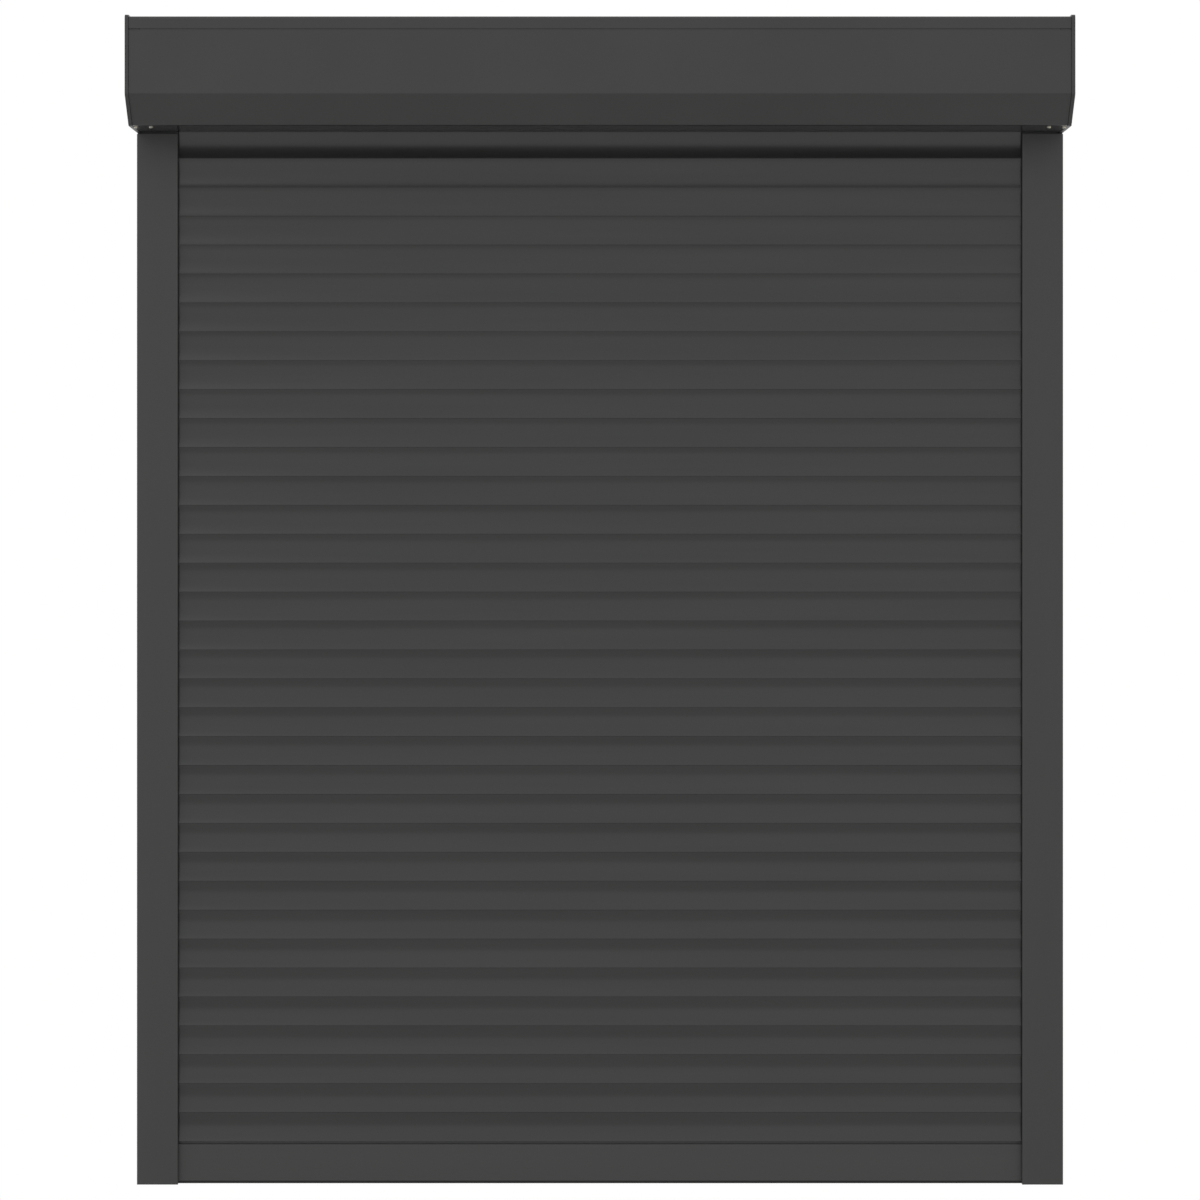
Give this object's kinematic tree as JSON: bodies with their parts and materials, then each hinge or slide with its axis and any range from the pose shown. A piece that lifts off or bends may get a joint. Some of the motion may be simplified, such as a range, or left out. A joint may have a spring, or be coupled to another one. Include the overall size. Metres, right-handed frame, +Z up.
{
  "type": "exterior roller shutter",
  "caption": "Exterior roller shutter: chamfered box with a motorised octagonal roller, guide rails with pile seals, hooked hollow slats and a bottom bar with a rubber seal, shown closed.",
  "frame": {"origin": "middle of the foot of the guide rails, halfway between the front and the rear of the box", "axes": "+X to the right seen from outside, +Y towards the wall, +Z up; the outside face looks along -Y"},
  "size_m": [1.2, 0.137, 1.5],
  "materials": {
    "box_sheet": "matt anthracite powder coat on roll-formed sheet",
    "cap_casting": "matt anthracite powder coat on a die casting",
    "rail_extrusion": "matt anthracite powder coat on an extrusion",
    "slat_coating": "matt anthracite coil coating",
    "bar_extrusion": "matt anthracite powder coat on an extrusion",
    "seal_rubber": "black extruded rubber",
    "grommet_rubber": "black moulded rubber",
    "glide_plastic": "black moulded nylon",
    "pile_seal": "black polypropylene pile",
    "black_plastic": "black moulded plastic",
    "zinc_steel": "bright zinc plating",
    "bare_steel": "oiled spring and bearing steel"
  },
  "bodies": {
    "frame": {"upper_shell": "box_sheet", "inspection_panel": "box_sheet", "end_cap_left": "cap_casting", "end_cap_right": "cap_casting", "guide_rail_left": "rail_extrusion", "guide_rail_right": "rail_extrusion", "rail_seals_left": "pile_seal", "rail_seals_right": "pile_seal", "inlet_guide_left": "black_plastic", "inlet_guide_right": "black_plastic", "cap_screws": "zinc_steel", "shell_rivets": "box_sheet", "idler_bearing": "bare_steel", "motor_bracket": "zinc_steel", "motor_tube": "zinc_steel", "motor_head": "black_plastic", "cable_grommet": "grommet_rubber"},
    "roller": {"octagon_shaft": "zinc_steel", "idler_capsule": "black_plastic", "drive_wheel": "black_plastic", "crown_ring": "black_plastic", "hanger_springs": "bare_steel"},
    "curtain_bar": {"bottom_bar": "bar_extrusion", "sill_seal": "seal_rubber", "bar_end_glides": "glide_plastic"},
    "curtain_slat_01": {"slat_01": "slat_coating"},
    "curtain_slat_02": {"slat_02": "slat_coating"},
    "curtain_slat_03": {"slat_03": "slat_coating"},
    "curtain_slat_04": {"slat_04": "slat_coating"},
    "curtain_slat_05": {"slat_05": "slat_coating"},
    "curtain_slat_06": {"slat_06": "slat_coating"},
    "curtain_slat_07": {"slat_07": "slat_coating"},
    "curtain_slat_08": {"slat_08": "slat_coating"},
    "curtain_slat_09": {"slat_09": "slat_coating"},
    "curtain_slat_10": {"slat_10": "slat_coating"},
    "curtain_slat_11": {"slat_11": "slat_coating"},
    "curtain_slat_12": {"slat_12": "slat_coating"},
    "curtain_slat_13": {"slat_13": "slat_coating"},
    "curtain_slat_14": {"slat_14": "slat_coating"},
    "curtain_slat_15": {"slat_15": "slat_coating"},
    "curtain_slat_16": {"slat_16": "slat_coating"},
    "curtain_slat_17": {"slat_17": "slat_coating"},
    "curtain_slat_18": {"slat_18": "slat_coating"},
    "curtain_slat_19": {"slat_19": "slat_coating"},
    "curtain_slat_20": {"slat_20": "slat_coating"},
    "curtain_slat_21": {"slat_21": "slat_coating"},
    "curtain_slat_22": {"slat_22": "slat_coating"},
    "curtain_slat_23": {"slat_23": "slat_coating"},
    "curtain_slat_24": {"slat_24": "slat_coating"},
    "curtain_slat_25": {"slat_25": "slat_coating"},
    "curtain_slat_26": {"slat_26": "slat_coating"},
    "curtain_slat_27": {"slat_27": "slat_coating"},
    "curtain_slat_28": {"slat_28": "slat_coating"},
    "curtain_slat_29": {"slat_29": "slat_coating"},
    "curtain_slat_30": {"slat_30": "slat_coating"},
    "curtain_slat_31": {"slat_31": "slat_coating"},
    "curtain_slat_32": {"slat_32": "slat_coating"},
    "curtain_slat_33": {"slat_33": "slat_coating"},
    "curtain_slat_34": {"slat_34": "slat_coating"},
    "curtain_slat_35": {"slat_35": "slat_coating"}
  },
  "joints": [
    {"name": "curtain_lift", "type": "slide", "parent": "frame", "child": "curtain_bar", "axis": [0, 0, 1], "range_m": [0, 1.335]},
    {"name": "roller_spin", "type": "hinge", "parent": "frame", "child": "roller", "pos_m": [0, 0, 1.4315], "axis": [1, 0, 0], "range_deg": [0, 1800], "deforming": ["hanger_springs"]},
    {"name": "slat_01_lift", "type": "slide", "parent": "frame", "child": "curtain_slat_01", "axis": [0, 0, 1], "range_m": [0, 1.3351], "deforming": ["slat_01"]},
    {"name": "slat_02_lift", "type": "slide", "parent": "frame", "child": "curtain_slat_02", "axis": [0, 0, 1], "range_m": [0, 1.29933], "deforming": ["slat_02"]},
    {"name": "slat_03_lift", "type": "slide", "parent": "frame", "child": "curtain_slat_03", "axis": [0, 0, 1], "range_m": [0, 1.26357], "deforming": ["slat_03"]},
    {"name": "slat_04_lift", "type": "slide", "parent": "frame", "child": "curtain_slat_04", "axis": [0, 0, 1], "range_m": [0, 1.22781], "deforming": ["slat_04"]},
    {"name": "slat_05_lift", "type": "slide", "parent": "frame", "child": "curtain_slat_05", "axis": [0, 0, 1], "range_m": [0, 1.19204], "deforming": ["slat_05"]},
    {"name": "slat_06_lift", "type": "slide", "parent": "frame", "child": "curtain_slat_06", "axis": [0, 0, 1], "range_m": [0, 1.15628], "deforming": ["slat_06"]},
    {"name": "slat_07_lift", "type": "slide", "parent": "frame", "child": "curtain_slat_07", "axis": [0, 0, 1], "range_m": [0, 1.12051], "deforming": ["slat_07"]},
    {"name": "slat_08_lift", "type": "slide", "parent": "frame", "child": "curtain_slat_08", "axis": [0, 0, 1], "range_m": [0, 1.08475], "deforming": ["slat_08"]},
    {"name": "slat_09_lift", "type": "slide", "parent": "frame", "child": "curtain_slat_09", "axis": [0, 0, 1], "range_m": [0, 1.04898], "deforming": ["slat_09"]},
    {"name": "slat_10_lift", "type": "slide", "parent": "frame", "child": "curtain_slat_10", "axis": [0, 0, 1], "range_m": [0, 1.01322], "deforming": ["slat_10"]},
    {"name": "slat_11_lift", "type": "slide", "parent": "frame", "child": "curtain_slat_11", "axis": [0, 0, 1], "range_m": [0, 0.97745], "deforming": ["slat_11"]},
    {"name": "slat_12_lift", "type": "slide", "parent": "frame", "child": "curtain_slat_12", "axis": [0, 0, 1], "range_m": [0, 0.94169], "deforming": ["slat_12"]},
    {"name": "slat_13_lift", "type": "slide", "parent": "frame", "child": "curtain_slat_13", "axis": [0, 0, 1], "range_m": [0, 0.90592], "deforming": ["slat_13"]},
    {"name": "slat_14_lift", "type": "slide", "parent": "frame", "child": "curtain_slat_14", "axis": [0, 0, 1], "range_m": [0, 0.87016], "deforming": ["slat_14"]},
    {"name": "slat_15_lift", "type": "slide", "parent": "frame", "child": "curtain_slat_15", "axis": [0, 0, 1], "range_m": [0, 0.83439], "deforming": ["slat_15"]},
    {"name": "slat_16_lift", "type": "slide", "parent": "frame", "child": "curtain_slat_16", "axis": [0, 0, 1], "range_m": [0, 0.79863], "deforming": ["slat_16"]},
    {"name": "slat_17_lift", "type": "slide", "parent": "frame", "child": "curtain_slat_17", "axis": [0, 0, 1], "range_m": [0, 0.76286], "deforming": ["slat_17"]},
    {"name": "slat_18_lift", "type": "slide", "parent": "frame", "child": "curtain_slat_18", "axis": [0, 0, 1], "range_m": [0, 0.7271], "deforming": ["slat_18"]},
    {"name": "slat_19_lift", "type": "slide", "parent": "frame", "child": "curtain_slat_19", "axis": [0, 0, 1], "range_m": [0, 0.69134], "deforming": ["slat_19"]},
    {"name": "slat_20_lift", "type": "slide", "parent": "frame", "child": "curtain_slat_20", "axis": [0, 0, 1], "range_m": [0, 0.65557], "deforming": ["slat_20"]},
    {"name": "slat_21_lift", "type": "slide", "parent": "frame", "child": "curtain_slat_21", "axis": [0, 0, 1], "range_m": [0, 0.61981], "deforming": ["slat_21"]},
    {"name": "slat_22_lift", "type": "slide", "parent": "frame", "child": "curtain_slat_22", "axis": [0, 0, 1], "range_m": [0, 0.58404], "deforming": ["slat_22"]},
    {"name": "slat_23_lift", "type": "slide", "parent": "frame", "child": "curtain_slat_23", "axis": [0, 0, 1], "range_m": [0, 0.54828], "deforming": ["slat_23"]},
    {"name": "slat_24_lift", "type": "slide", "parent": "frame", "child": "curtain_slat_24", "axis": [0, 0, 1], "range_m": [0, 0.51251], "deforming": ["slat_24"]},
    {"name": "slat_25_lift", "type": "slide", "parent": "frame", "child": "curtain_slat_25", "axis": [0, 0, 1], "range_m": [0, 0.47675], "deforming": ["slat_25"]},
    {"name": "slat_26_lift", "type": "slide", "parent": "frame", "child": "curtain_slat_26", "axis": [0, 0, 1], "range_m": [0, 0.44098], "deforming": ["slat_26"]},
    {"name": "slat_27_lift", "type": "slide", "parent": "frame", "child": "curtain_slat_27", "axis": [0, 0, 1], "range_m": [0, 0.40522], "deforming": ["slat_27"]},
    {"name": "slat_28_lift", "type": "slide", "parent": "frame", "child": "curtain_slat_28", "axis": [0, 0, 1], "range_m": [0, 0.36945], "deforming": ["slat_28"]},
    {"name": "slat_29_lift", "type": "slide", "parent": "frame", "child": "curtain_slat_29", "axis": [0, 0, 1], "range_m": [0, 0.33369], "deforming": ["slat_29"]},
    {"name": "slat_30_lift", "type": "slide", "parent": "frame", "child": "curtain_slat_30", "axis": [0, 0, 1], "range_m": [0, 0.29792], "deforming": ["slat_30"]},
    {"name": "slat_31_lift", "type": "slide", "parent": "frame", "child": "curtain_slat_31", "axis": [0, 0, 1], "range_m": [0, 0.26216], "deforming": ["slat_31"]},
    {"name": "slat_32_lift", "type": "slide", "parent": "frame", "child": "curtain_slat_32", "axis": [0, 0, 1], "range_m": [0, 0.2264], "deforming": ["slat_32"]},
    {"name": "slat_33_lift", "type": "slide", "parent": "frame", "child": "curtain_slat_33", "axis": [0, 0, 1], "range_m": [0, 0.19063], "deforming": ["slat_33"]},
    {"name": "slat_34_lift", "type": "slide", "parent": "frame", "child": "curtain_slat_34", "axis": [0, 0, 1], "range_m": [0, 0.15487], "deforming": ["slat_34"]},
    {"name": "slat_35_lift", "type": "slide", "parent": "frame", "child": "curtain_slat_35", "axis": [0, 0, 1], "range_m": [0, 0.1191], "deforming": ["slat_35"]}
  ],
  "couplings": [
    {"joint": "roller_spin", "follows": "curtain_lift", "rad_per_m": 23.53},
    {"joint": "slat_01_lift", "follows": "curtain_lift", "ratio": 1},
    {"joint": "slat_02_lift", "follows": "curtain_lift", "ratio": 0.97321},
    {"joint": "slat_03_lift", "follows": "curtain_lift", "ratio": 0.94642},
    {"joint": "slat_04_lift", "follows": "curtain_lift", "ratio": 0.91963},
    {"joint": "slat_05_lift", "follows": "curtain_lift", "ratio": 0.89284},
    {"joint": "slat_06_lift", "follows": "curtain_lift", "ratio": 0.86605},
    {"joint": "slat_07_lift", "follows": "curtain_lift", "ratio": 0.83926},
    {"joint": "slat_08_lift", "follows": "curtain_lift", "ratio": 0.81247},
    {"joint": "slat_09_lift", "follows": "curtain_lift", "ratio": 0.78568},
    {"joint": "slat_10_lift", "follows": "curtain_lift", "ratio": 0.75889},
    {"joint": "slat_11_lift", "follows": "curtain_lift", "ratio": 0.7321},
    {"joint": "slat_12_lift", "follows": "curtain_lift", "ratio": 0.70531},
    {"joint": "slat_13_lift", "follows": "curtain_lift", "ratio": 0.67852},
    {"joint": "slat_14_lift", "follows": "curtain_lift", "ratio": 0.65173},
    {"joint": "slat_15_lift", "follows": "curtain_lift", "ratio": 0.62494},
    {"joint": "slat_16_lift", "follows": "curtain_lift", "ratio": 0.59815},
    {"joint": "slat_17_lift", "follows": "curtain_lift", "ratio": 0.57136},
    {"joint": "slat_18_lift", "follows": "curtain_lift", "ratio": 0.54457},
    {"joint": "slat_19_lift", "follows": "curtain_lift", "ratio": 0.51778},
    {"joint": "slat_20_lift", "follows": "curtain_lift", "ratio": 0.49099},
    {"joint": "slat_21_lift", "follows": "curtain_lift", "ratio": 0.4642},
    {"joint": "slat_22_lift", "follows": "curtain_lift", "ratio": 0.43741},
    {"joint": "slat_23_lift", "follows": "curtain_lift", "ratio": 0.41062},
    {"joint": "slat_24_lift", "follows": "curtain_lift", "ratio": 0.38383},
    {"joint": "slat_25_lift", "follows": "curtain_lift", "ratio": 0.35704},
    {"joint": "slat_26_lift", "follows": "curtain_lift", "ratio": 0.33025},
    {"joint": "slat_27_lift", "follows": "curtain_lift", "ratio": 0.30346},
    {"joint": "slat_28_lift", "follows": "curtain_lift", "ratio": 0.27667},
    {"joint": "slat_29_lift", "follows": "curtain_lift", "ratio": 0.24988},
    {"joint": "slat_30_lift", "follows": "curtain_lift", "ratio": 0.22309},
    {"joint": "slat_31_lift", "follows": "curtain_lift", "ratio": 0.1963},
    {"joint": "slat_32_lift", "follows": "curtain_lift", "ratio": 0.16951},
    {"joint": "slat_33_lift", "follows": "curtain_lift", "ratio": 0.14272},
    {"joint": "slat_34_lift", "follows": "curtain_lift", "ratio": 0.11593},
    {"joint": "slat_35_lift", "follows": "curtain_lift", "ratio": 0.089139}
  ]
}
